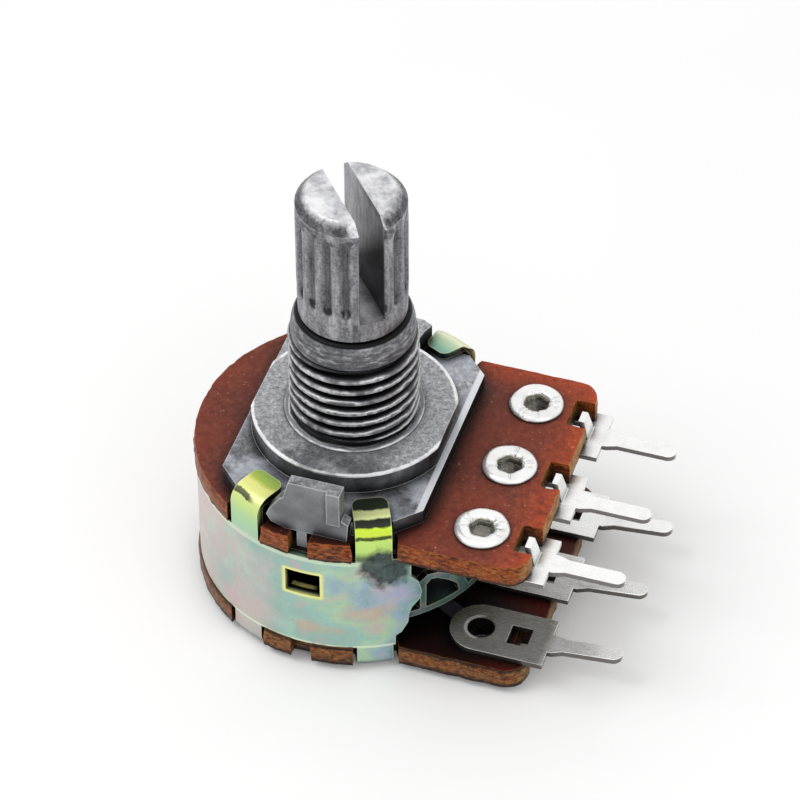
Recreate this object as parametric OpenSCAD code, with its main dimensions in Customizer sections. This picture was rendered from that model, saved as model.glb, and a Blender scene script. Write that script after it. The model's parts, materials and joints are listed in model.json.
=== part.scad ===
// Dual-gang rotary potentiometer with a threaded bushing and a split, knurled shaft.
// Millimetres. The origin is on the shaft's axis at the mounting face, +Z runs to the shaft's tip,
// +X runs to the terminals, and the locating lug stands on the -Y side.

/* [Shaft] */
// Diameter over the tips of the knurl
knurl_d = 5.9; // [5.6:0.05:6.1]
// Length of the knurled and split end
knurl_len = 6.6; // [3:0.1:12]
// Number of teeth round the knurl
knurl_teeth = 18; // [12:1:24]
// Depth of a tooth
knurl_depth = 0.22; // [0.15:0.01:0.4]
// Length of the plain collar under the knurl
collar_h = 1.25; // [0.5:0.05:10]
// Width of the slot across the tip
slot_w = 1.4; // [0.6:0.1:1.8]
// Run of the slot below the knurl
slot_run = 0.1; // [0.05:0.05:0.5]
// Direction of the slot with the control at mid travel
slot_angle = -50; // [-90:1:90]
// Chamfer round the tip
tip_chamfer = 0.6; // [0.2:0.1:1]
// Diameter of the journal that turns in the bushing
journal_d = 4.95; // [4.4:0.05:5.4]
// Diameter of the pilot that turns in the rear board
pilot_d = 3.9; // [3:0.1:4]
// Distance across the two drive flats
flats_w = 3.8; // [3.2:0.1:4.2]
// Radial running clearance of the shaft in its holes
run_fit = 0.025; // [0.01:0.005:0.05]

/* [Bushing and plate] */
// Major diameter of the bushing's thread
thread_d = 7; // [6.8:0.1:8]
// Length of the bushing above the mounting face
bushing_len = 7; // [6:0.5:7.5]
// Length of the smooth lead above the thread
lead_len = 1.5; // [0.8:0.1:2]
// Step from the thread's crests down to the lead
lead_step = 0.17; // [0.16:0.01:0.3]
// Inward reach of the rounding at the bushing's mouth
mouth_round = 0.45; // [0.2:0.05:0.6]
// Run of the mouth's rounding along the bushing
mouth_run = 1.15; // [0.4:0.05:1.3]
// Height of the raised boss over the plate
boss_h = 1.2; // [0.8:0.1:1.6]
// Margin of the raised boss inside the plate's sides
boss_margin = 0.05; // [0.02:0.01:0.4]
// Depth of the flat cut on either side of the boss
boss_flat_cut = 0.3; // [0.1:0.05:0.6]
// Thickness of the plate that clamps the front board
plate_t = 0.9; // [0.7:0.1:1.2]
// Gap between the plate's sides and the shell's wall, along X
plate_side_gap = 2.58; // [2:0.02:2.8]
// Gap between the plate's ends and the shell's wall, along Y
plate_end_gap = 1.48; // [1.3:0.02:1.8]
// Corner cut of the plate
plate_cut = 1.25; // [0.8:0.05:1.6]
// Width of the locating lug
lug_w = 2.9; // [2:0.1:3.2]
// Thickness of the locating lug
lug_t = 0.65; // [0.5:0.05:0.8]
// Distance of the locating lug from the plate's end
lug_gap = 0.7; // [0.5:0.05:0.8]
// Height of the locating lug above the mounting face
lug_h = 1.3; // [0.8:0.1:2]

/* [Boards] */
// Thickness of a board
board_t = 1.3; // [1:0.1:1.6]
// How far a board's round end stands proud of the shell
board_proud = 0.14; // [0.05:0.01:0.4]
// Board left beside the outer terminals' axes
tongue_side = 2.5; // [2:0.1:2.8]
// Board left past the rivets' axes
tongue_end = 3.1; // [2.8:0.1:4]
// Radius of the tongue's corners
tongue_r = 1.3; // [0.4:0.1:1.4]
// Depth of the notch in the rear board's rim
rear_notch = 0.6; // [0.3:0.1:1.2]
// Thickness of the printed tracks
track_t = 0.05; // [0.03:0.01:0.1]

/* [Terminals] */
// Distance between neighbouring terminals
pitch = 5; // [4:0.1:5.5]
// Distance of the rivets' axes outside the shell
rivet_out = 0.1; // [0:0.05:0.6]
// Thickness of the terminal strip
strip_t = 0.35; // [0.25:0.05:0.5]
// Width of a terminal plate
strip_w = 3.4; // [3.2:0.1:4]
// Reach of a terminal plate past the board's edge
strip_end = 0.8; // [0.5:0.1:1.5]
// Length of a terminal pin past its plate
pin_len = 4; // [2:0.1:8]
// Width of a terminal pin
pin_w = 0.95; // [0.7:0.05:1.1]
// Width of a terminal pin at its root
pin_root_w = 1.35; // [1.1:0.05:1.6]
// Rise of the rear pins' tips over their plates
rear_pin_rise = 0.4; // [0:0.05:0.6]
// Lean of a prong's tip toward the shaft
prong_lean = 0.3; // [0:0.05:0.35]
// Diameter of the drawn rivet's hole
rivet_hole_d = 1.45; // [1:0.05:1.6]
// Diameter of the rivet's flared head
rivet_head_d = 2.95; // [2.6:0.05:3.2]
// Thickness of the rivet's flared head
rivet_head_t = 0.25; // [0.15:0.05:0.3]
// Length of the square window that the prong is cut from
window_len = 1.15; // [0.9:0.05:1.2]
// Width of the square window
window_w = 1.35; // [1.2:0.05:1.5]

/* [Shell] */
// Outer diameter of the shell
shell_d = 17.2; // [16:0.1:20]
// Thickness of the shell's sheet
shell_t = 0.42; // [0.3:0.02:0.5]
// Width of a folding tab
tab_w = 1.95; // [1.6:0.05:2.1]
// Reach of a folded tab inside the wall
tab_reach = 1.78; // [1.2:0.02:1.9]
// Radius of the corners at a tab's tip
tab_round = 0.5; // [0.2:0.05:0.7]
// Angle of the tabs from the X axis
tab_angle = 65; // [64:1:67]
// Angle of the shell's end lobes from the X axis
shell_end_angle = 47; // [46:1:48]
// Width of the lanced window, as an angle
lance_angle = 13; // [10:1:14]
// Height of the lanced window
lance_h = 1.6; // [1.2:0.1:1.8]
// Distance of the lanced window below the front board
lance_drop = 1.2; // [1:0.1:1.4]
// Inward reach of the stop lip that is lanced out of the window
lip_reach = 1.25; // [1:0.05:1.4]

/* [Middle plate and rotors] */
// Thickness of the middle plate
mid_t = 0.4; // [0.3:0.05:0.5]
// Height of the rear gang, from the rear board to the middle plate
rear_gang_h = 1.3; // [1.2:0.1:1.8]
// Height of the front gang, from the middle plate to the front board
front_gang_h = 4.8; // [4.2:0.1:7]
// Total turn of the shaft
travel = 300; // [270:5:300]
// Gap between the rotors' discs and the shell's wall
rotor_gap = 1.58; // [1.5:0.02:2]
// Gap between the front board and the front rotor
front_rotor_gap = 0.85; // [0.7:0.05:1]
// Thickness of the front rotor's disc
front_rotor_t = 1.2; // [1:0.1:1.4]
// Thickness of the rear rotor's disc
rear_rotor_t = 0.55; // [0.5:0.05:0.6]
// Gap between the front rotor's stop and the middle plate's legs
stop_gap = 0.25; // [0.15:0.01:0.35]
// Thickness of a wiper's sheet
wiper_t = 0.15; // [0.1:0.01:0.18]
// Gap between a wiper's nose and its track
wiper_gap = 0.08; // [0.05:0.01:0.1]

/* [Hidden] */
$fn = 96;

// Overrun of a cut past the face that it opens
over = 0.5;

// Radii of the shell, which the plate, the boards and the rotors follow
shell_r = shell_d / 2;
shell_in_r = shell_r - shell_t;
tab_tip_r = shell_in_r - tab_reach;
fold_in_r = 0.25;
fold_out_r = 0.9;

// Heights of the stack, from the mounting face down
board_gap = front_gang_h + mid_t + rear_gang_h;
plate_top = -boss_h;
front_top = plate_top - plate_t;
front_bottom = front_top - board_t;
rear_top = front_bottom - board_gap;
rear_bottom = rear_top - board_t;
mid_bottom = rear_top + rear_gang_h;
mid_top = mid_bottom + mid_t;

// Shaft
collar_gap = 0.15;
collar_bottom = bushing_len + collar_gap;
knurl_bottom = collar_bottom + collar_h;
shaft_len = knurl_bottom + knurl_len;
collar_step = 0.05;
collar_d = knurl_d - 2 * collar_step;
clip_t = 0.5;
clip_gap = 0.1;
clip_w = 1.15;
groove_depth = 0.425;
groove_fit = 0.05;
groove_d = journal_d - 2 * groove_depth;
clip_d = groove_d + 2 * clip_w;
clip_top = front_top - clip_gap;
rear_rotor_gap = 0.15;
rear_rotor_top = mid_bottom - rear_rotor_gap;
rear_rotor_bottom = rear_rotor_top - rear_rotor_t;
front_rotor_top = front_bottom - front_rotor_gap;
front_rotor_bottom = front_rotor_top - front_rotor_t;
hub_gap = 0.95;
flats_gap = 0.3;
flats_top = front_bottom - flats_gap;
pilot_inset = 0.2;
pilot_end = rear_bottom + pilot_inset;
drive_fit = 0.03;

// Bushing and plate
bore_d = journal_d + 2 * run_fit;
lead_d = thread_d - 2 * lead_step;
plate_w = 2 * (shell_in_r - plate_side_gap);
plate_d = 2 * (shell_in_r - plate_end_gap);
boss_d = plate_w - 2 * boss_margin;
boss_flats_w = boss_d - 2 * boss_flat_cut;
lug_y = -(plate_d / 2 + lug_gap + lug_t);
lug_x = 0.45;
key_w = 0.55;
key_x = -0.3;

// Terminals
rivet_x = shell_r + rivet_out;
tongue_x = rivet_x + tongue_end;
strip_x = tongue_x + strip_end;
pin_x = strip_x + pin_len;
prong_x = tongue_x - strip_t;
window_x = prong_x - window_len;
window_fit = 0.1;
pin_root = 0.2;
prong_w = window_w - 2 * window_fit;
barrel_t = 0.2;
barrel_fit = 0.02;
barrel_d = rivet_hole_d + 2 * barrel_t;

// Boards
board_d = shell_d + 2 * board_proud;
tongue_w = 2 * (pitch + tongue_side);
tab_fit = 0.2;
tab_slot_room = 0.08;
tab_slot_r = shell_in_r - fold_in_r - tab_slot_room;
key_fit = 0.25;
key_room = 0.1;
key_slot_w = key_w + 2 * key_fit;
prong_fit = 0.325;
prong_slot_w = prong_w + 2 * prong_fit;
prong_room = 0.7;
prong_slot_depth = strip_t + prong_room;
clip_room = 0.5;
front_hole_d = clip_d + 2 * clip_room;
pilot_hole_d = pilot_d + 4 * run_fit;

// Shell
lance_dir = -91;
lance_top = front_bottom - lance_drop;
lance_bottom = lance_top - lance_h;

// Middle plate and stop
mid_fit = 0.05;
mid_r = shell_in_r - mid_fit;
mid_hole_gap = 0.4;
mid_hole_r = journal_d / 2 + mid_hole_gap;
stop_gap_angle = 1;
stop_half_angle = 180 - travel / 2 - lance_angle / 2 - stop_gap_angle;
stop_bottom = lance_bottom - shell_t - 0.4;
track_end_angle = 180 - travel / 2;
stop_r = mid_r - mid_t - stop_gap;
rotor_r = shell_in_r - rotor_gap;

// Tracks, which share the ring between the front board's hole and the rotors' rim
track_room = rotor_r - front_hole_d / 2;
track_w = track_room / 3;
resistive_r = rotor_r - track_room * 0.15;
collector_r = front_hole_d / 2 + track_room * 0.3;

// Shared shapes

// Ring between two radii, from z0 up to z1
module ring(r_in, r_out, z0, z1) {
    translate([0, 0, z0])
        difference() {
            cylinder(h = z1 - z0, r = r_out);
            translate([0, 0, -over]) cylinder(h = z1 - z0 + 2 * over, r = r_in);
        }
}

// Wedge of the plane between two angles, up to radius r, for angles less than 180 degrees apart
module wedge(a0, a1, r) {
    steps = 4;
    far = r / cos((a1 - a0) / steps / 2);
    polygon(concat(
        [[0, 0]],
        [for (i = [0 : steps]) let (a = a0 + (a1 - a0) * i / steps) [far * cos(a), far * sin(a)]]
    ));
}

// Part of a ring between two angles
module ring_sector(r_in, r_out, a0, a1, z0, z1) {
    intersection() {
        ring(r_in, r_out, z0, z1);
        translate([0, 0, z0 - over])
            linear_extrude(z1 - z0 + 2 * over) wedge(a0, a1, r_out + 1);
    }
}

// Round shaft section with two flats, as the rotors' drive
module drive_section(d, across, z0, z1) {
    translate([0, 0, z0])
        intersection() {
            cylinder(h = z1 - z0, d = d);
            translate([-d, -across / 2, 0]) cube([2 * d, across, z1 - z0]);
        }
}

// Shaft

// Outline of the knurl: each tooth has a narrow crest and a narrow root
module knurl_outline() {
    crest = knurl_d / 2;
    root = crest - knurl_depth;
    step = 360 / knurl_teeth;
    polygon([
        for (i = [0 : knurl_teeth - 1])
            for (p = [[0, root], [0.16, root], [0.42, crest], [0.74, crest]])
                let (a = (i + p[0]) * step) [p[1] * cos(a), p[1] * sin(a)]
    ]);
}

module shaft() {
    difference() {
        union() {
            intersection() {
                translate([0, 0, knurl_bottom]) linear_extrude(knurl_len) knurl_outline();
                rotate_extrude() polygon([
                    [0, knurl_bottom - over],
                    [knurl_d / 2 + over, knurl_bottom - over],
                    [knurl_d / 2 + over, shaft_len - tip_chamfer - over],
                    [knurl_d / 2 - tip_chamfer - over, shaft_len + over],
                    [0, shaft_len + over]
                ]);
            }
            translate([0, 0, collar_bottom]) cylinder(h = knurl_bottom - collar_bottom, d = collar_d);
            translate([0, 0, flats_top]) cylinder(h = collar_bottom - flats_top, d = journal_d);
            drive_section(journal_d, flats_w, rear_rotor_bottom, flats_top);
            translate([0, 0, pilot_end]) cylinder(h = rear_rotor_bottom - pilot_end, d = pilot_d);
        }
        rotate([0, 0, slot_angle])
            translate([-knurl_d, -slot_w / 2, knurl_bottom - slot_run])
                cube([2 * knurl_d, slot_w, slot_run + knurl_len + over]);
        ring(groove_d / 2, journal_d, clip_top - clip_t - groove_fit, clip_top + groove_fit);
    }
}

// Open ring that snaps into the shaft's groove under the bushing
module retaining_clip() {
    mouth = groove_d * 0.8;
    difference() {
        ring(groove_d / 2 + groove_fit, clip_d / 2, clip_top - clip_t, clip_top);
        translate([0, -mouth / 2, clip_top - clip_t - over]) cube([clip_d, mouth, clip_t + 2 * over]);
    }
}

// Bushing and plate, one casting

// Plate outline with its four corners cut
module plate_outline() {
    x = plate_w / 2;
    y = plate_d / 2;
    polygon([
        for (s = [[1, 1], [-1, 1], [-1, -1], [1, -1]])
            for (c = s[0] * s[1] > 0 ? [[x, y - plate_cut], [x - plate_cut, y]]
                                     : [[x - plate_cut, y], [x, y - plate_cut]])
                [s[0] * c[0], s[1] * c[1]]
    ]);
}

// Thread's plain cylinder, its smooth lead and the rounded mouth
module bushing_body() {
    r_lead = lead_d / 2;
    r_mouth = r_lead - mouth_round;
    cylinder(h = bushing_len - lead_len, d = thread_d);
    rotate_extrude() polygon(concat(
        [[0, -over], [r_lead, -over]],
        [for (a = [0 : 15 : 90])
            [r_mouth + mouth_round * cos(a), bushing_len - mouth_run * (1 - sin(a))]],
        [[0, bushing_len]]
    ));
}

// Front view of the lug: the upright part, and below it a wing on either side
module lug_outline() {
    left = lug_x - lug_w / 2;
    right = lug_x + lug_w / 2;
    polygon([
        [left, lug_h], [right, lug_h], [right, plate_top + 0.5],
        [right + 0.4, plate_top + 0.3], [right + 0.3, front_top], [left - 0.2, front_top],
        [left - 1, front_top + 0.3], [left - 1.25, front_top + 0.8], [left - 1.1, plate_top + 0.3],
        [left - 0.5, plate_top + 1.2], [left - 0.3, plate_top + 1.3]
    ]);
}

// Upright lug with a rib on its outer face, its foot, and the key that enters the front board
module lug() {
    rib_w = 0.75;
    rib_t = 0.2;
    rib_bottom = plate_top + 0.3;
    foot_left = lug_x - lug_w / 2 - 0.9;
    foot_right = lug_x + lug_w / 2 + 0.5;
    translate([0, lug_y + lug_t, 0]) rotate([90, 0, 0]) linear_extrude(lug_t) lug_outline();
    translate([lug_x + lug_w / 2 - rib_w, lug_y - rib_t, rib_bottom])
        cube([rib_w, rib_t + lug_t / 2, lug_h - rib_bottom]);
    translate([foot_left, lug_y + lug_t - 0.1, front_top])
        cube([foot_right - foot_left, -plate_d / 2 - lug_y - lug_t + over, plate_t]);
    translate([key_x - key_w / 2, lug_y, front_top - board_t * 0.85])
        cube([key_w, lug_t, board_t]);
}

// Pad at the back of the boss, level with the mounting face
module back_pad() {
    root_y = boss_d / 2 - 1;
    side_y = plate_d / 2 - 0.1;
    far_y = plate_d / 2 + 0.45;
    end_y = plate_d / 2 + 0.75;
    root_x = 1.45;
    side_x = 1.85;
    far_x = 2.08;
    end_x = 1.5;
    translate([0, 0, plate_top - over])
        linear_extrude(boss_h + over)
            polygon([
                [-root_x, root_y], [root_x, root_y], [side_x, side_y], [far_x, far_y],
                [end_x, end_y], [-end_x, end_y], [-far_x, far_y], [-side_x, side_y]
            ]);
    translate([-side_x, plate_d / 2 - over, front_top])
        cube([2 * side_x, far_y - plate_d / 2 + over, plate_t]);
}

module bushing_plate() {
    color("gray")
    difference() {
        union() {
            translate([0, 0, front_top]) linear_extrude(plate_t) plate_outline();
            intersection() {
                translate([0, 0, plate_top - over]) cylinder(h = boss_h + over, d = boss_d);
                translate([-boss_flats_w / 2, -boss_d, plate_top - over])
                    cube([boss_flats_w, 2 * boss_d, boss_h + 2 * over]);
            }
            bushing_body();
            lug();
            back_pad();
        }
        translate([0, 0, front_top - over]) cylinder(h = bushing_len - front_top + 2 * over, d = bore_d);
    }
}

// Boards

// Outline of a board: the round end and the tongue with rounded corners
module board_outline() {
    circle(d = board_d);
    difference() {
        translate([0, -tongue_w / 2]) square([tongue_x, tongue_w]);
        for (s = [-1, 1])
            translate([tongue_x - tongue_r, s * (tongue_w / 2 - tongue_r)])
                difference() {
                    translate([0, s > 0 ? 0 : -tongue_r - over]) square([tongue_r + over, tongue_r + over]);
                    circle(r = tongue_r);
                }
    }
}

// Everything that is punched out of a board round its rim and its tongue, with a notch as far as notch_y
module board_cuts(notch_y) {
    for (s = [-1, 1], a = [tab_angle, 180 - tab_angle])
        rotate([0, 0, s * a])
            translate([tab_slot_r, -tab_w / 2 - tab_fit]) square([board_d, tab_w + 2 * tab_fit]);
    for (i = [-1, 0, 1]) {
        translate([rivet_x, i * pitch]) circle(d = barrel_d);
        translate([tongue_x - prong_slot_depth, i * pitch - prong_slot_w / 2])
            square([prong_slot_depth + over, prong_slot_w]);
    }
    translate([key_x - key_slot_w / 2, -board_d]) square([key_slot_w, board_d + notch_y]);
}

module board(z0, hole_d, notch_y) {
    translate([0, 0, z0])
        linear_extrude(board_t)
            difference() {
                board_outline();
                board_cuts(notch_y);
                circle(d = hole_d);
            }
}

module front_board() {
    color("sienna") board(front_bottom, front_hole_d, lug_y + lug_t + key_room);
}

module rear_board() {
    color("sienna") board(rear_bottom, pilot_hole_d, rear_notch - board_d / 2);
}

// Printed tracks

// Open ring of a resistive track, with a lead to each outer terminal
module resistive_outline() {
    end_x = resistive_r * cos(track_end_angle);
    end_y = resistive_r * sin(track_end_angle);
    lead_dir = atan2(pitch - end_y, rivet_x - end_x);
    lead_len_xy = norm([rivet_x - end_x, pitch - end_y]);
    difference() {
        circle(r = resistive_r + track_w / 2);
        circle(r = resistive_r - track_w / 2);
        wedge(-track_end_angle, track_end_angle, resistive_r + 1);
    }
    for (s = [-1, 1])
        difference() {
            translate([end_x, s * end_y])
                rotate([0, 0, s * lead_dir])
                    translate([-track_w / 2, -track_w / 2]) square([lead_len_xy, track_w]);
            translate([rivet_x, s * pitch]) circle(d = strip_w);
        }
}

// Closed ring of a collector track, with a lead to the middle terminal
module collector_outline() {
    difference() {
        union() {
            circle(r = collector_r + track_w / 2);
            translate([0, -track_w / 2]) square([rivet_x - strip_w / 2 + track_t, track_w]);
        }
        circle(r = collector_r - track_w / 2);
        translate([rivet_x, 0]) circle(d = strip_w);
    }
}

module front_resistive_track() {
    color("dimgray")
        translate([0, 0, front_bottom - track_t]) linear_extrude(track_t) resistive_outline();
}

module front_collector_track() {
    color("silver")
        translate([0, 0, front_bottom - track_t]) linear_extrude(track_t) collector_outline();
}

module rear_resistive_track() {
    color("dimgray") translate([0, 0, rear_top]) linear_extrude(track_t) resistive_outline();
}

module rear_collector_track() {
    color("silver") translate([0, 0, rear_top]) linear_extrude(track_t) collector_outline();
}

// Terminals

// Flat outline of a terminal's pin, with the rivet's axis at the origin
module pin_outline() {
    reach = strip_x - rivet_x;
    tip = pin_x - rivet_x;
    taper = 0.8;
    polygon([
        [reach - over, -pin_root_w / 2],
        [reach + pin_root, -pin_root_w / 2],
        [reach + taper, -pin_w / 2],
        [tip - pin_w / 2, -pin_w / 2],
        [tip - pin_w / 2, pin_w / 2],
        [reach + taper, pin_w / 2],
        [reach + pin_root, pin_root_w / 2],
        [reach - over, pin_root_w / 2]
    ]);
    translate([tip - pin_w / 2, 0]) circle(d = pin_w);
}

// Flat outline of a terminal's plate, with its rivet's hole and its window
module plate_of_terminal() {
    difference() {
        union() {
            circle(d = strip_w);
            translate([0, -strip_w / 2]) square([strip_x - rivet_x, strip_w]);
        }
        circle(d = rivet_hole_d);
        translate([window_x - rivet_x, -window_w / 2]) square([window_len, window_w]);
    }
}

// Pin that runs off to the given height at its tip
module pin(rise) {
    root = strip_x - rivet_x + pin_root;
    tip = pin_x - rivet_x;
    intersection() {
        translate([0, 0, -strip_t - abs(rise) - over])
            linear_extrude(strip_t + 2 * abs(rise) + 2 * over) pin_outline();
        translate([0, pin_root_w, 0])
            rotate([90, 0, 0])
                linear_extrude(2 * pin_root_w)
                    polygon([
                        [root - over, -strip_t], [root, -strip_t], [tip + 0.01, rise - strip_t],
                        [tip + 0.01, rise], [root, 0], [root - over, 0]
                    ]);
    }
}

// Terminal with its board above it: the strip lies below z = 0, the board's thickness is above
module terminal(rise) {
    lip = rivet_head_t * 0.4;
    wall_r = barrel_d / 2 - barrel_fit;
    prong_top = board_t * 0.9;
    translate([0, 0, -strip_t]) linear_extrude(strip_t) plate_of_terminal();
    pin(rise);
    rotate_extrude() polygon([
        [rivet_hole_d / 2, -strip_t],
        [wall_r, -strip_t],
        [wall_r, board_t],
        [rivet_head_d / 2, board_t],
        [rivet_head_d / 2, board_t + lip],
        [rivet_head_d / 2 - 2 * lip, board_t + rivet_head_t],
        [rivet_hole_d / 2 + lip, board_t + rivet_head_t],
        [rivet_hole_d / 2, board_t + rivet_head_t - lip]
    ]);
    translate([prong_x - rivet_x, prong_w / 2, 0])
        rotate([90, 0, 0])
            linear_extrude(prong_w)
                polygon([
                    [0, -strip_t], [strip_t, -strip_t], [strip_t, 0],
                    [strip_t - prong_lean, prong_top], [-prong_lean, prong_top], [0, 0]
                ]);
}

// Terminal of the front board: the strip is under the board
module front_terminal(i) {
    color("gainsboro") translate([rivet_x, i * pitch, front_bottom]) terminal(0);
}

// Terminal of the rear board: the strip is on top of the board
module rear_terminal(i) {
    color("gainsboro") translate([rivet_x, i * pitch, rear_top]) mirror([0, 0, 1]) terminal(-rear_pin_rise);
}

// Housing shell

// What a fold's arc leaves in the corner outside it, for a corner at the origin; side is 1 above, -1 below
module fold_corner(r, side) {
    translate([-r, -side * r])
        difference() {
            translate([0, side > 0 ? 0 : -r - over]) square([r + over, r + over]);
            circle(r = r);
        }
}

// Section of the shell: the wall, with a flange folded inward at either end
module shell_section() {
    z_up = plate_top + shell_t;
    z_down = rear_bottom - shell_t;
    flange_r = tab_tip_r - tab_round;
    difference() {
        translate([flange_r, z_down]) square([shell_r - flange_r, z_up - z_down]);
        difference() {
            translate([flange_r - over, rear_bottom])
                square([shell_in_r - flange_r + over, plate_top - rear_bottom]);
            translate([shell_in_r, plate_top]) fold_corner(fold_in_r, 1);
            translate([shell_in_r, rear_bottom]) fold_corner(fold_in_r, -1);
        }
        translate([shell_r, z_up]) fold_corner(fold_out_r, 1);
        translate([shell_r, z_down]) fold_corner(fold_out_r, -1);
    }
}

// Plan of a folded tab along the X axis, its tip's corners rounded
module tab_plan() {
    difference() {
        translate([tab_tip_r, -tab_w / 2]) square([shell_r + 2 - tab_tip_r, tab_w]);
        for (s = [-1, 1])
            translate([tab_tip_r + tab_round, s * (tab_w / 2 - tab_round)])
                difference() {
                    translate([-tab_round - over, s > 0 ? 0 : -tab_round - over])
                        square([tab_round + over, tab_round + over]);
                    circle(r = tab_round);
                }
    }
}

// Everything round the shell except its four tabs
module between_tabs() {
    difference() {
        circle(r = shell_r + 1);
        for (s = [-1, 1], a = [tab_angle, 180 - tab_angle]) rotate([0, 0, s * a]) tab_plan();
    }
}

// Outline of the lobe at the shell's end, as distance along the wall and height
module lobe_outline() {
    half = board_gap / 2;
    polygon([
        [-3, -half - over], [-1.58, -half - over], [-1.58, -half + 0.66], [-1.25, -half + 0.86],
        [-0.87, -half + 1.52], [-0.84, -half + 2.03], [-0.67, -half + 2.56], [-0.18, -half + 3.08],
        [-0.08, half - 2.95], [-0.28, half - 2.1], [-0.7, half - 1.6], [-0.7, half + over],
        [-3, half + over]
    ]);
}

// Open side of the shell, past the two end lobes
module open_side() {
    back = shell_end_angle + 12;
    difference() {
        translate([0, 0, rear_top - over])
            linear_extrude(board_gap + 2 * over) wedge(-back, back, shell_r + 1);
        for (s = [0, 1])
            mirror([0, s, 0])
                rotate([0, 0, -shell_end_angle])
                    translate([shell_in_r - 1, 0, (front_bottom + rear_top) / 2])
                        rotate([90, 0, 90]) linear_extrude(shell_t + 3) lobe_outline();
    }
}

// Lanced window in the wall
module lance_window() {
    half = lance_angle / 2;
    translate([0, 0, lance_bottom])
        linear_extrude(lance_h)
            difference() {
                wedge(lance_dir - half, lance_dir + half, shell_r + 1);
                circle(r = shell_in_r - over);
            }
}

// Lip that is bent inward at the window's lower edge, where the rotor's stop meets it
module stop_lip() {
    half = lance_angle / 2 - 0.5;
    top = lance_bottom - 0.05;
    ring_sector(shell_in_r - lip_reach, shell_in_r + shell_t / 2, lance_dir - half, lance_dir + half,
                top - shell_t, top);
}

module housing_shell() {
    fold_room = boss_h + plate_t + board_t + 1;
    color("darkseagreen")
    union() {
        difference() {
            rotate_extrude() shell_section();
            translate([0, 0, front_bottom]) linear_extrude(fold_room) between_tabs();
            translate([0, 0, rear_top - fold_room]) linear_extrude(fold_room) between_tabs();
            open_side();
            lance_window();
        }
        stop_lip();
    }
}

// Middle plate between the gangs

// Legs that space the plate from a board, on the side that the shell covers
module mid_legs(z0, z1, first) {
    for (i = [0 : 2])
        let (a = first + i * 60)
            ring_sector(mid_r - mid_t, mid_r, a - 7, a + 7, z0, z1);
}

// Ear beside the shell's end, turned up from the plate's rim, with an arched opening
module mid_ear() {
    rotate([0, 0, -35])
        translate([mid_r - 1.2, 0, mid_top])
            rotate([90, 0, 90])
                linear_extrude(2)
                    difference() {
                        polygon([
                            [-1.66, -mid_t], [-1.66, 2.05], [-1.2, 2.4], [-0.5, 2.25],
                            [0.3, 1.62], [1.25, 0.8], [1.5, 0.2], [1.5, -mid_t]
                        ]);
                        polygon([
                            [-1.3, 0], [-1.3, 1.7], [-1, 1.98], [-0.6, 1.85],
                            [0.1, 1.3], [0.7, 0.65], [0.9, 0]
                        ]);
                    }
}

module mid_plate() {
    color("darkseagreen")
    union() {
        ring(mid_hole_r, mid_r, mid_bottom, mid_top);
        mid_legs(rear_top, mid_bottom + mid_t / 2, 120);
        mid_legs(mid_top - mid_t / 2, front_bottom, 150 - 60);
        intersection() {
            ring(mid_r - mid_t, mid_r, mid_bottom, front_bottom);
            for (s = [0, 1]) mirror([0, s, 0]) mid_ear();
        }
    }
}

// Rotors

module front_rotor() {
    hub_d = 8;
    hub_bottom = mid_top + hub_gap;
    stop_depth = 1.2;
    stop_root = 0.4;
    stop_dir = lance_dir + 180;
    color("tan")
    difference() {
        union() {
            translate([0, 0, front_rotor_bottom]) cylinder(h = front_rotor_t, r = rotor_r);
            translate([0, 0, hub_bottom]) cylinder(h = front_rotor_top - hub_bottom, d = hub_d);
            ring_sector(rotor_r - stop_depth, stop_r, stop_dir - stop_half_angle, stop_dir + stop_half_angle,
                        stop_bottom, front_rotor_bottom + stop_root);
        }
        drive_section(journal_d + 2 * drive_fit, flats_w + 2 * drive_fit,
                      hub_bottom - over, front_rotor_top + over);
    }
}

module rear_rotor() {
    color("tan")
    difference() {
        translate([0, 0, rear_rotor_bottom]) cylinder(h = rear_rotor_t, r = rotor_r);
        drive_section(journal_d + 2 * drive_fit, flats_w + 2 * drive_fit,
                      rear_rotor_bottom - over, rear_rotor_top + over);
    }
}

// Wiper of two sprung fingers on one base, for a rotor face at z = 0 with the track at height rise
module wiper(rise) {
    nose = rise - wiper_gap;
    tip = nose * 0.65;
    finger_w = 0.5;
    base_w = 0.7;
    base_y = 1.9;
    bend_y = 1.6;
    nose_y = 0.3;
    heel_y = -0.1;
    tip_y = -0.6;
    for (r = [collector_r, resistive_r])
        translate([-r - finger_w / 2, 0, 0])
            rotate([90, 0, 90])
                linear_extrude(finger_w)
                    polygon([
                        [base_y + base_w, 0], [base_y + base_w, wiper_t], [bend_y, wiper_t],
                        [nose_y, nose], [heel_y, nose], [tip_y, tip],
                        [tip_y, tip - wiper_t], [heel_y, nose - wiper_t],
                        [nose_y, nose - wiper_t], [bend_y, 0]
                    ]);
    translate([-resistive_r - finger_w / 2, base_y, 0])
        cube([resistive_r - collector_r + finger_w, base_w, wiper_t]);
}

module front_wiper() {
    color("goldenrod") translate([0, 0, front_rotor_top]) wiper(front_bottom - track_t - front_rotor_top);
}

module rear_wiper() {
    color("goldenrod")
        translate([0, 0, rear_rotor_bottom])
            mirror([0, 0, 1]) wiper(rear_rotor_bottom - rear_top - track_t);
}

color("darkgray") shaft();
bushing_plate();
color("silver") retaining_clip();
front_board();
rear_board();
front_resistive_track();
front_collector_track();
rear_resistive_track();
rear_collector_track();
front_terminal(1);  // front_terminal_1
front_terminal(0);  // front_terminal_2
front_terminal(-1);  // front_terminal_3
rear_terminal(1);  // rear_terminal_1
rear_terminal(0);  // rear_terminal_2
rear_terminal(-1);  // rear_terminal_3
housing_shell();
mid_plate();
front_rotor();
rear_rotor();
front_wiper();
rear_wiper();
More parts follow.
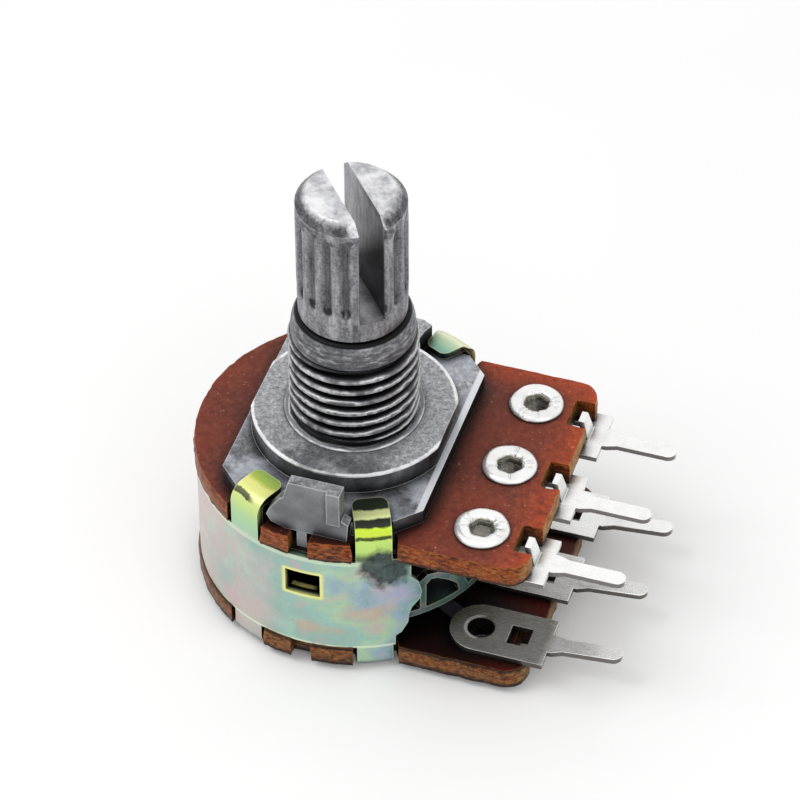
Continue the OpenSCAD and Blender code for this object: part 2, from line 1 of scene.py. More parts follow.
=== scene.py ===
"""Looks of a dual-gang rotary potentiometer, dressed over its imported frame."""
import json
import math
import random

import bmesh
import bpy
from mathutils import Matrix, Vector, noise
from mathutils.geometry import delaunay_2d_cdt


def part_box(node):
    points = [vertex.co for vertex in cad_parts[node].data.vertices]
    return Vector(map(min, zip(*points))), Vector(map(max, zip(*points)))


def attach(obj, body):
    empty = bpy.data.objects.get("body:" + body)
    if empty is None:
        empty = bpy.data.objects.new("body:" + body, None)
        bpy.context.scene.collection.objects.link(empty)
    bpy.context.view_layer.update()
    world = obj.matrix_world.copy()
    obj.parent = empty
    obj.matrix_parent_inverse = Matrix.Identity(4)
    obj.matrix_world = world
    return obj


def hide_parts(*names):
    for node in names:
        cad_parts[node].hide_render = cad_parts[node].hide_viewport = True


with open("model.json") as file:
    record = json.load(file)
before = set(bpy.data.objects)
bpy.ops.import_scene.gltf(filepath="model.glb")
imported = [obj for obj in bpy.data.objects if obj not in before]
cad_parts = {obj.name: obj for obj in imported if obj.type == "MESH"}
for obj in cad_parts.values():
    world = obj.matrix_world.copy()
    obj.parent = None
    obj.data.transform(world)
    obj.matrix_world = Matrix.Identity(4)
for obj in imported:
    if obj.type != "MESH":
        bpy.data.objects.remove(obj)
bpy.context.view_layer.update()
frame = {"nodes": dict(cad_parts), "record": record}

MM = 0.001

# Sizes are in millimetres and angles in degrees. Z is measured from the mounting face, and
# radii from the shaft's axis.

# Sizes of the frame that the pieces follow
FRONT_BOARD_BOTTOM, FRONT_BOARD_TOP = (corner.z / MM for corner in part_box("front_board"))
REAR_BOARD_BOTTOM, REAR_BOARD_TOP = (corner.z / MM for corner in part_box("rear_board"))
SHELL_BOTTOM, TAB_TOP = (corner.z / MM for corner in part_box("housing_shell"))
BOARD_T = FRONT_BOARD_TOP - FRONT_BOARD_BOTTOM
SHELL_R = 8.6
PITCH = 5.0

# Terminals and rivets
RIVET_X = 8.7
STRIP_HOLE_R = 0.72
RIVET_HOLE_R = 0.66
RIVET_RIM_R = 1.5
PRONG_FROM = 1.8         # from the rivet's axis
PRONG_SHARE = 0.72       # width that is left at the prong's tip
REAR_GANG_Z = -6.0

# Casting
LUG_Y = -7.0
KEY_Z = -2.0             # top of the key under the lug
LEDGE_X = 5.2            # step on the terminals' side, with a painted highlight
LEDGE_Z = -0.9
BOSS_RIM_FROM = 5.34
BOSS_RIM_TO = 5.66
LEAD_Z = 5.2
LEAD_R = 3.6
MOUTH_R = 3.1
MOUTH_Z = 6.78

# Thread on the bushing
THREAD_CREST_R = 3.5
THREAD_ROOT_R = 3.02
THREAD_PITCH = 0.75
THREAD_FROM = 0.12
THREAD_TO = 5.5
THREAD_SIDES = 128
THREAD_ROWS = 110
FOOT_R = 3.78

# Shaft
SLOT_ANGLE = -50
SLOT_HALF_W = 0.72
KNURL_R = 2.93
KNURL_FROM = 8.4
KNURL_TO = 14.4

# Shell: stretch of radius minus height over which the tabs' bands lie, and its lanced window
TAB_RUN_FROM = 7.0
TAB_RUN_TO = 12.0
BACK_TAB_ANGLE = 65
WINDOW_SIDE = 0.15
WINDOW_HALF_W = 0.97
WINDOW_HALF_H = 0.8
WINDOW_Z = FRONT_BOARD_BOTTOM - 2.0

# Edges that bend more than the first are rounded, and up to the second the shading is smooth
SHARP_ANGLE = 32
SMOOTH_ANGLE = 42

# Torn edge of the boards: mean depth, its slow and quick swings, and what the faces lose more
TEAR_DEPTH = 0.045
TEAR_SLOW = 0.06
TEAR_QUICK = 0.045
TEAR_AT_FACES = 0.045

# Camera, fitted to the photograph
CAMERA_AZIMUTH = 18.245
CAMERA_ELEVATION = 43.622
CAMERA_ROLL = -0.411
CAMERA_DISTANCE = 241.6
CAMERA_RIGHT = 2.428
CAMERA_UP = 0.174
CAMERA_LENS = 203.2
CAMERA_SENSOR = 36

# Lamps: place, size and watts
KEY_LAMP = ((-120, -60, 220), 120, 0.17)
FILL_LAMP = ((150, -120, 160), 160, 0.065)


def colour(red, green, blue):
    """Linear colour, from screen values of 0 to 255."""
    def linear(value):
        share = value / 255
        return share / 12.92 if share <= 0.04045 else ((share + 0.055) / 1.055) ** 2.4
    return (linear(red), linear(green), linear(blue), 1.0)


def share_of(value, low, high):
    """Place of a value between low and high, from 0 to 1."""
    return (value - low) / (high - low)


class Look:
    """One node material. Lengths are in millimetres, and a share runs from 0 to 1."""

    def __init__(self, name, metal=0.0, rough=0.5):
        self.material = bpy.data.materials.new(name)
        self.material.use_nodes = True
        self.tree = self.material.node_tree
        self.shader = self.tree.nodes["Principled BSDF"]
        self.shader.inputs["Metallic"].default_value = metal
        self.shader.inputs["Roughness"].default_value = rough
        self.coords = self.add("ShaderNodeTexCoord").outputs["Object"]

    def add(self, kind, inputs=None, **settings):
        node = self.tree.nodes.new(kind)
        for key, value in settings.items():
            setattr(node, key, value)
        for key, value in (inputs or {}).items():
            self.feed(node.inputs[key], value)
        return node

    def feed(self, socket, value):
        if isinstance(value, bpy.types.NodeSocket):
            self.tree.links.new(value, socket)
        else:
            socket.default_value = value

    def set(self, **sockets):
        """Links or sets the shader's sockets, named with underscores for spaces."""
        for name, value in sockets.items():
            self.feed(self.shader.inputs[name.replace("_", " ")], value)

    def noise(self, per_mm, detail=3.0, rough=0.6, stretch=(1, 1, 1), twist=0.0):
        """Noise with about per_mm features in a millimetre, closer along stretched axes."""
        mapping = self.add("ShaderNodeMapping", {"Vector": self.coords, "Scale": stretch})
        node = self.add("ShaderNodeTexNoise", {
            "Vector": mapping.outputs[0], "Scale": per_mm / MM, "Detail": detail,
            "Roughness": rough, "Distortion": twist})
        return node.outputs["Fac"]

    def ramp(self, fac, *stops):
        """Colour ramp through stops of place, red, green and blue."""
        node = self.add("ShaderNodeValToRGB", {"Fac": fac})
        marks = node.color_ramp.elements
        while len(marks) < len(stops):
            marks.new(0.5)
        for mark, (place, *rgb) in zip(marks, stops):
            mark.position = place
            mark.color = colour(*rgb)
        return node.outputs["Color"]

    def level(self, value, low, high, to_low=0.0, to_high=1.0):
        """Maps a value's stretch from low to high onto another stretch, with its ends held."""
        node = self.add("ShaderNodeMapRange", {
            "Value": value, "From Min": low, "From Max": high,
            "To Min": to_low, "To Max": to_high})
        return node.outputs["Result"]

    def swing(self, fac, low, high):
        """Noise as a value that swings between low and high."""
        return self.level(fac, 0.3, 0.7, low, high)

    def mix(self, fac, a, b, mode="MIX"):
        node = self.add("ShaderNodeMix", {0: fac, 6: a, 7: b}, data_type="RGBA", blend_type=mode)
        return node.outputs[2]

    def over(self, skin, coat, *shares, mode="MIX"):
        """The skin with a coat over it, as strong as the product of the shares."""
        return self.mix(self.both(*shares), skin, coat, mode)

    def math(self, operation, a, b=0.0):
        return self.add("ShaderNodeMath", {0: a, 1: b}, operation=operation).outputs[0]

    def less(self, a, b):
        return self.math("SUBTRACT", a, b)

    def size(self, value):
        """The value without its sign."""
        return self.math("ABSOLUTE", value)

    def place(self):
        """X, Y and Z of a point, in millimetres."""
        scaled = self.add("ShaderNodeVectorMath", {0: self.coords, 1: (1 / MM, 1 / MM, 1 / MM)},
                          operation="MULTIPLY")
        return self.add("ShaderNodeSeparateXYZ", {0: scaled.outputs[0]}).outputs

    def distance(self, x, y):
        """Length of the vector (x, y)."""
        vector = self.add("ShaderNodeCombineXYZ", {0: x, 1: y}).outputs[0]
        return self.add("ShaderNodeVectorMath", {0: vector}, operation="LENGTH").outputs["Value"]

    def spot(self, x, z, at_x, at_z, wide, tall):
        """0 in the middle of an oval spot, and 1 at its rim."""
        return self.distance(self.math("DIVIDE", self.less(x, at_x), wide),
                             self.math("DIVIDE", self.less(z, at_z), tall))

    def normal(self):
        """X, Y and Z of the surface's direction."""
        normal = self.add("ShaderNodeTexCoord").outputs["Normal"]
        return self.add("ShaderNodeSeparateXYZ", {0: normal}).outputs

    def upright(self, facing):
        """1 on upright faces, from the Z of the surface's direction."""
        return self.level(self.size(facing), 0.5, 0.2)

    def band(self, value, low, high, soft):
        """1 between low and high, fading to 0 over the soft stretch outside them."""
        return self.both(self.level(value, low - soft, low), self.level(value, high + soft, high))

    def both(self, *shares):
        """Product of several shares."""
        result = shares[0]
        for share in shares[1:]:
            result = self.math("MULTIPLY", result, share)
        return result

    def other(self, share):
        """1 where the share is 0, and 0 where it is 1."""
        return self.level(share, 1.0, 0.0)

    def edges(self, radius, sharpness):
        """1 along a piece's edges, fading to 0 within the radius."""
        bevel = self.add("ShaderNodeBevel", {"Radius": radius * MM}, samples=6)
        normal = self.add("ShaderNodeNewGeometry").outputs["Normal"]
        dot = self.add("ShaderNodeVectorMath", {0: bevel.outputs[0], 1: normal},
                       operation="DOT_PRODUCT").outputs["Value"]
        bent = self.less(1.0, dot)
        return self.add("ShaderNodeMath", {0: bent, 1: sharpness}, operation="MULTIPLY",
                        use_clamp=True).outputs[0]

    def hollows(self, reach, gain=1.0):
        """0 in the open, rising to 1 in corners and slots that are narrower than the reach."""
        node = self.add("ShaderNodeAmbientOcclusion", {"Distance": reach * MM}, samples=8)
        shut = self.less(1.0, node.outputs["AO"])
        return self.add("ShaderNodeMath", {0: shut, 1: gain}, operation="MULTIPLY",
                        use_clamp=True).outputs[0]

    def bump(self, height, depth, strength):
        return self.add("ShaderNodeBump", {"Height": height, "Distance": depth * MM,
                                           "Strength": strength}).outputs[0]


# Materials

def casting_look():
    """Die-cast zinc: a salt-and-pepper grain, painted highlights on rims, edges and ledges, and
    painted shade on upright sides, in gaps and in hollows.
    """
    look = Look("casting", metal=0.7, rough=0.42)
    grain = look.noise(3.6, 4, 0.75)
    speck = look.noise(8.0, 2, 0.6)
    cloud = look.noise(0.35, 3, 0.6)
    patches = look.noise(0.45, 3, 0.6)
    x, y, z = look.place()
    radius = look.distance(x, y)
    normal = look.normal()
    upright = look.upright(normal[2])
    on_lug = look.level(y, LUG_Y, LUG_Y - 0.2)

    grey = look.ramp(grain, (0.3, 104, 104, 108), (0.48, 156, 157, 160), (0.6, 186, 188, 191),
                     (0.72, 232, 233, 236))
    grey = look.over(grey, look.ramp(speck, (0.38, 96, 96, 100), (0.62, 214, 215, 218)), 0.25)
    calm = look.both(look.level(cloud, 0.56, 0.42), look.level(y, -2.0, -4.5))
    grey = look.over(grey, colour(146, 146, 150), calm, 0.85, mode="MULTIPLY")
    pale = look.both(look.level(cloud, 0.4, 0.6), look.level(z, -0.8, -1.1))
    grey = look.over(grey, colour(198, 206, 218), pale, 0.6)

    # Painted shade: upright faces get a darker grey than faces that face up, and the lug's upright
    # faces keep a lighter grey.
    side = look.ramp(cloud, (0.35, 76, 76, 80), (0.65, 112, 112, 116))
    side = look.over(side, grey, 0.4, mode="OVERLAY")
    grey = look.over(grey, side, upright, 0.85)
    lug_grey = look.ramp(cloud, (0.35, 138, 139, 142), (0.65, 166, 167, 170))
    lug_grey = look.over(lug_grey, grey, 0.35, mode="OVERLAY")
    grey = look.over(grey, lug_grey, on_lug, upright, 0.8)
    # Painted shade: walls of the boss and plate that face +X are near-black.
    x_wall_shade = look.both(look.level(normal[0], 0.6, 0.85), look.band(z, -2.2, -0.15, 0.04),
                          look.other(on_lug))
    grey = look.over(grey, colour(12, 12, 14), x_wall_shade, 0.95)

    lead = look.both(look.level(z, LEAD_Z, LEAD_Z + 0.2), look.level(radius, LEAD_R, LEAD_R - 0.1))
    turned = look.noise(1.6, 4, 0.65, stretch=(1, 1, 3.0))
    polish = look.ramp(turned, (0.32, 52, 52, 56), (0.5, 98, 98, 101), (0.7, 184, 184, 186))
    grey = look.over(grey, polish, lead, 0.75)
    # Painted shade: near-black in corners and gaps narrower than 0.9 mm.
    grey = look.over(grey, colour(5, 5, 6), look.hollows(0.9, 1.9), mode="MULTIPLY")
    # Painted highlight: near-white on the ledge beside the boss.
    ledge = look.both(look.level(x, LEDGE_X, LEDGE_X + 0.08), look.level(normal[2], 0.6, 0.8),
                      look.level(z, LEDGE_Z, LEDGE_Z - 0.2))
    grey = look.over(grey, colour(236, 238, 243), ledge, 0.9)
    # The key's upright faces are set back to mid-grey over the painted side shade.
    key = look.both(look.level(z, KEY_Z, KEY_Z - 0.12), upright)
    grey = look.over(grey, colour(150, 152, 156), key, 0.8)

    # Painted highlight: a near-white line along the boss's top rim, broken into patches.
    uneven = look.math("ADD", radius, look.swing(grain, -0.04, 0.04))
    rim = look.both(look.level(uneven, BOSS_RIM_FROM, BOSS_RIM_FROM + 0.08),
                    look.level(radius, BOSS_RIM_TO, BOSS_RIM_TO - 0.06),
                    look.band(z, -0.1, 0.05, 0.03), look.level(patches, 0.36, 0.5, 0.25, 1.0))
    grey = look.over(grey, colour(246, 247, 249), rim)
    # Painted highlight along edges that face up, beyond the thread's foot.
    edge_highlight = look.both(look.edges(0.08, 5), look.level(normal[2], 0.1, 0.5),
                      look.level(radius, 3.9, 4.1))
    grey = look.over(grey, colour(240, 241, 244), edge_highlight, 0.8)
    # Painted highlight along the lug's edges, in patches.
    lug_edge_highlight = look.both(look.edges(0.12, 5), on_lug, look.level(patches, 0.4, 0.5))
    grey = look.over(grey, colour(226, 227, 231), lug_edge_highlight, 0.7)
    # Painted shade: near-black in the gap under the shaft's collar.
    mouth_shade = look.both(look.level(radius, MOUTH_R + 0.1, MOUTH_R),
                      look.level(z, MOUTH_Z, MOUTH_Z + 0.08))
    grey = look.over(grey, colour(6, 6, 7), mouth_shade)
    look.set(Base_Color=grey, Roughness=look.swing(grain, 0.55, 0.36),
             Normal=look.bump(grain, 0.025, 0.6))
    return look.material


def thread_look():
    """The casting's metal on the thread, coloured by radius: painted shade in the near-black
    roots, and painted highlights on the crests, varied by wear, and on the foot's rim.
    """
    look = Look("thread", metal=0.75, rough=0.36)
    grain = look.noise(2.6, 4, 0.7)
    wear = look.noise(0.5, 3, 0.6)
    place = look.place()
    radius = look.distance(place[0], place[1])
    height = look.math("ADD", radius, look.swing(grain, -0.03, 0.03))
    height = look.math("ADD", height, look.level(wear, 0.35, 0.65, -0.1, 0.05))
    # Painted shade and highlight by radius: near-black roots, light crests and a pale rim on the
    # foot.
    grey = look.ramp(look.level(height, THREAD_ROOT_R, FOOT_R),
                     (0.1, 14, 14, 16), (0.34, 46, 46, 49), (0.5, 108, 108, 111),
                     (0.6, 214, 214, 215), (0.66, 120, 121, 124), (0.86, 140, 141, 144),
                     (0.95, 214, 215, 218))
    # Painted shade in hollows.
    grey = look.over(grey, colour(10, 10, 12), look.hollows(0.5, 1.2), mode="MULTIPLY")
    look.set(Base_Color=grey, Roughness=look.swing(grain, 0.48, 0.28),
             Normal=look.bump(grain, 0.02, 0.6))
    return look.material


def shaft_look():
    """Cast zinc shaft: streaks along its length, painted shade in its flutes, pits and hollows,
    painted highlights on its tip and other upward faces and edges, and painted light and shade on
    the slot's walls.
    """
    look = Look("shaft", metal=0.75, rough=0.4)
    streak = look.noise(2.2, 4, 0.65, stretch=(1, 1, 0.25))
    grain = look.noise(6.0, 3, 0.7)
    cloud = look.noise(0.9, 4, 0.65)
    x, y, z = look.place()
    radius = look.distance(x, y)
    facing = look.normal()[2]

    grey = look.ramp(streak, (0.32, 74, 74, 78), (0.5, 124, 124, 127), (0.68, 176, 176, 179))
    grey = look.over(grey, look.ramp(grain, (0.36, 72, 72, 76), (0.64, 196, 196, 199)), 0.3)
    # Painted shade: darker in the knurl's flutes.
    flute_shade = look.both(look.level(radius, 2.9, 2.74),
                      look.level(z, KNURL_FROM - 0.1, KNURL_FROM + 0.2))
    grey = look.over(grey, colour(70, 70, 76), flute_shade, 0.5, mode="MULTIPLY")
    # Painted shade: near-black spots where the flutes run out.
    pit_shade = look.both(look.level(radius, 2.92, 2.84),
                    look.band(z, KNURL_FROM + 0.35, KNURL_FROM + 0.75, 0.25),
                    look.level(streak, 0.42, 0.5))
    grey = look.over(grey, colour(20, 20, 24), pit_shade, 0.9)
    # Darker blue-grey patches below the tip, on faces that do not face up.
    patches = look.both(look.band(z, KNURL_TO - 0.65, KNURL_TO - 0.2, 0.15),
                     look.level(cloud, 0.48, 0.56), look.level(facing, 0.3, 0.1))
    grey = look.over(grey, colour(44, 44, 56), patches, 0.7)
    # Painted highlight: near-white on faces that face up, such as the tip.
    bright = look.ramp(cloud, (0.36, 176, 176, 182), (0.5, 222, 222, 226), (0.64, 248, 248, 249))
    top = look.level(look.math("ADD", facing, look.swing(grain, -0.1, 0.1)), 0.35, 0.8)
    grey = look.over(grey, bright, top, 0.92)
    # Painted shade in hollows.
    grey = look.over(grey, colour(12, 12, 14), look.hollows(0.7, 1.4), mode="MULTIPLY")
    # Painted highlight along edges below the knurl.
    grey = look.over(grey, colour(232, 232, 235), look.edges(0.06, 3),
                     look.level(z, KNURL_FROM - 0.4, KNURL_FROM + 0.1))

    turned = look.add("ShaderNodeVectorRotate", {
        "Vector": look.coords, "Angle": -math.radians(SLOT_ANGLE)}, rotation_type="Z_AXIS")
    slot = look.add("ShaderNodeSeparateXYZ", {0: turned.outputs[0]}).outputs
    along = look.math("DIVIDE", slot[0], MM)
    beside = look.size(look.math("DIVIDE", slot[1], MM))
    # Painted light and shade on the slot's walls: light grey, going near-black toward the wall's
    # lower end.
    wall = look.both(look.level(beside, SLOT_HALF_W + 0.02, SLOT_HALF_W),
                     look.level(look.size(facing), 0.5, 0.3),
                     look.level(z, KNURL_FROM - 0.2, KNURL_FROM))
    low = look.level(look.less(z, along), 12.3, 10.4)
    lit_wall_grey = look.ramp(streak, (0.3, 128, 128, 131), (0.7, 196, 196, 199))
    grey = look.over(grey, look.over(lit_wall_grey, colour(14, 14, 16), low), wall, 0.75)
    look.set(Base_Color=grey, Roughness=look.swing(grain, 0.5, 0.32),
             Normal=look.bump(streak, 0.03, 0.6))
    return look.material


def board_look():
    """Paper-phenolic laminate: a mottled face and a punched edge that shows its layers, with
    painted shade under the front board and in corners, painted shadow lines along the edges' rims,
    and painted highlights on upper edges.
    """
    look = Look("board", rough=0.4)
    look.set(Specular_IOR_Level=0.22)
    mottle = look.noise(3.0, 5, 0.7)
    cloud = look.noise(0.3, 3, 0.55)
    dust = look.noise(6.0, 2, 0.5)
    layers = look.noise(1.1, 4, 0.7, stretch=(1, 1, 4.0), twist=0.8)
    fibre = look.noise(3.2, 3, 0.6, stretch=(1, 1, 1.8))
    x, y, z = look.place()
    normal = look.normal()
    rear = look.level(z, -8.0, -9.0)

    face = look.ramp(mottle, (0.3, 98, 42, 30), (0.5, 124, 58, 42), (0.72, 150, 76, 54))
    face = look.over(face, colour(150, 62, 36), look.level(cloud, 0.4, 0.7, 0.0, 0.5))
    rim = look.math("MAXIMUM", look.level(x, 9.6, 12.2), look.level(y, 5.6, 8.0))
    rim = look.both(rim, look.level(mottle, 0.25, 0.6), look.level(z, -6.0, -4.0))
    face = look.over(face, colour(206, 78, 22), rim, 0.8)
    face = look.over(face, colour(214, 172, 150), look.level(dust, 0.7, 0.76, 0.0, 0.6))
    # Painted shade: the rear board's upper face, under the front board, goes from near-black to
    # dark red.
    rear_face_shade = look.mix(look.level(x, 8.6, 11.4), colour(10, 3, 2), colour(92, 22, 12))
    face = look.over(face, rear_face_shade, rear, look.level(normal[2], 0.3, 0.8), 0.92)

    edge = look.ramp(layers, (0.36, 26, 8, 5), (0.44, 110, 44, 16), (0.52, 202, 116, 46),
                     (0.57, 152, 62, 20), (0.66, 44, 14, 8))
    fibres = look.ramp(fibre, (0.36, 40, 12, 6), (0.5, 150, 78, 36), (0.64, 232, 176, 112))
    edge = look.over(edge, fibres, 0.28)
    straw = look.ramp(fibre, (0.35, 150, 96, 40), (0.6, 226, 184, 118))
    edge = look.over(edge, straw, look.level(normal[0], 0.6, 0.9, 0.0, 0.7))
    # Duller, greyer tone on the rear board's edge.
    rear_edge_tone = look.ramp(fibre, (0.35, 38, 28, 20), (0.6, 150, 132, 98))
    edge = look.over(edge, rear_edge_tone, rear, 0.45)
    # Painted shadow: dark lines along the lower rim of each board's edge, and along the rear
    # board's top rim where the shell rests.
    wave = look.math("ADD", z, look.swing(mottle, -0.1, 0.1))
    edge_shadow_lines = look.math(
        "MAXIMUM", look.band(wave, FRONT_BOARD_BOTTOM - 1, FRONT_BOARD_BOTTOM + 0.1, 0.16),
        look.level(wave, REAR_BOARD_BOTTOM + 0.38, REAR_BOARD_BOTTOM + 0.16))
    edge_shadow_lines = look.math("MAXIMUM", edge_shadow_lines,
                      look.band(wave, REAR_BOARD_TOP - 0.14, REAR_BOARD_TOP + 1, 0.1))
    edge = look.over(edge, colour(14, 6, 5), edge_shadow_lines, 0.9)
    edge = look.over(edge, (0.68, 0.56, 0.36, 1.0), 1.0, mode="MULTIPLY")

    flat = look.level(look.size(normal[2]), 0.6, 0.85)
    skin = look.mix(flat, edge, face)
    # Painted shade under the front board and the casting, on faces that face up.
    skin = look.over(skin, colour(14, 4, 3), look.hollows(7.0, 1.5),
                     look.level(normal[2], 0.3, 0.8), mode="MULTIPLY")
    # Painted shade in corners.
    skin = look.over(skin, colour(20, 7, 5), look.hollows(1.0, 1.5), mode="MULTIPLY")
    # Painted highlight along the edges' upper rims, in patches.
    edge_highlight = look.both(look.edges(0.1, 3), look.level(normal[2], -0.2, 0.4),
                      look.level(mottle, 0.3, 0.6))
    skin = look.over(skin, colour(226, 130, 60), edge_highlight, 0.6)
    look.set(Base_Color=skin, Roughness=look.swing(mottle, 0.5, 0.34),
             Normal=look.bump(look.mix(flat, layers, mottle), 0.06, 0.8))
    return look.material


def terminal_look():
    """Bright tin plating: cloudy, with painted highlights on its rims, and painted shade on its
    sheared sides, undersides, hollows and the lower strip.
    """
    look = Look("terminal", metal=0.6, rough=0.26)
    cloud = look.noise(0.9, 4, 0.65)
    scratch = look.noise(3.0, 3, 0.7, stretch=(0.4, 3.0, 1))
    blot = look.noise(2.6, 4, 0.7)
    x, y, z = look.place()
    normal = look.normal()
    in_rear = look.level(z, REAR_GANG_Z, REAR_GANG_Z - 1.0)

    tin = look.ramp(cloud, (0.34, 240, 240, 238), (0.5, 252, 252, 251), (0.7, 253, 253, 253))
    tin = look.over(tin, colour(190, 192, 190), look.level(scratch, 0.64, 0.75, 0.0, 0.25))
    tin = look.over(tin, colour(200, 208, 210), look.level(blot, 0.62, 0.7, 0.0, 0.3))
    # Painted shade: dark olive where the plates are closed in, mostly on the rear gang, and over
    # the rear third terminal's strip.
    shade = look.both(look.level(look.hollows(7.0), 0.3, 0.52),
                      look.level(z, REAR_GANG_Z, REAR_GANG_Z - 1.0, 0.25, 1.0))
    lower_strip_shade = look.both(in_rear, look.level(y, -2.0, -3.0), look.level(x, 12.9, 12.3), 0.65)
    shade_tone = look.ramp(blot, (0.32, 42, 40, 24), (0.6, 96, 92, 62))
    tin = look.over(tin, shade_tone, look.math("MAXIMUM", shade, lower_strip_shade), 0.95)
    # Painted shade: sheared sides that face -Y are dark.
    side = look.both(look.level(normal[2], 0.45, 0.1), look.level(normal[1], 0.1, -0.5))
    tin = look.over(tin, colour(66, 58, 52), side, 0.85)
    # Painted shade on faces that face down.
    tin = look.over(tin, colour(120, 114, 104), look.level(normal[2], -0.3, -0.8, 0.0, 0.6))

    beside = look.add("ShaderNodeMath", {0: y, 1: PITCH / 2, 2: -PITCH / 2}, operation="WRAP")
    from_rivet = look.distance(look.less(x, RIVET_X), beside.outputs[0])
    bore = look.level(from_rivet, STRIP_HOLE_R + 0.04, STRIP_HOLE_R - 0.04)
    # Painted shade in hollows, left out of the bore.
    tin = look.over(tin, colour(30, 26, 22), look.hollows(0.6, 1.3), look.other(bore),
                    mode="MULTIPLY")
    brass = look.ramp(blot, (0.36, 150, 144, 128), (0.62, 240, 236, 224))
    tin = look.over(tin, brass, bore, 0.7)
    # Painted shade: the rear rivets' bores are near-black.
    rear_bore_shade = look.level(from_rivet, STRIP_HOLE_R + 0.08, STRIP_HOLE_R + 0.04)
    tin = look.over(tin, colour(14, 12, 10), rear_bore_shade, in_rear, 0.95)
    # Painted highlight: a crescent on the left rim of each rear bore.
    crescent_highlight = look.both(look.band(from_rivet, STRIP_HOLE_R + 0.06, STRIP_HOLE_R + 0.18, 0.04),
                         in_rear, look.level(x, RIVET_X + 0.1, RIVET_X - 0.2))
    tin = look.over(tin, colour(250, 250, 248), crescent_highlight)
    # Painted highlight along edges that face up.
    tin = look.over(tin, colour(252, 252, 250), look.edges(0.09, 4),
                    look.level(normal[2], 0.1, 0.6), 0.8)
    look.set(Base_Color=tin, Roughness=look.swing(scratch, 0.2, 0.34),
             Normal=look.bump(cloud, 0.03, 0.5))
    return look.material


def tab_bands(look, run, *stops):
    """Colours along a tab, with the stops' places as radius minus height: the plating's lime with
    bands of painted reflection and painted shade.
    """
    return look.ramp(run, *((share_of(at, TAB_RUN_FROM, TAB_RUN_TO), *rgb) for at, *rgb in stops))


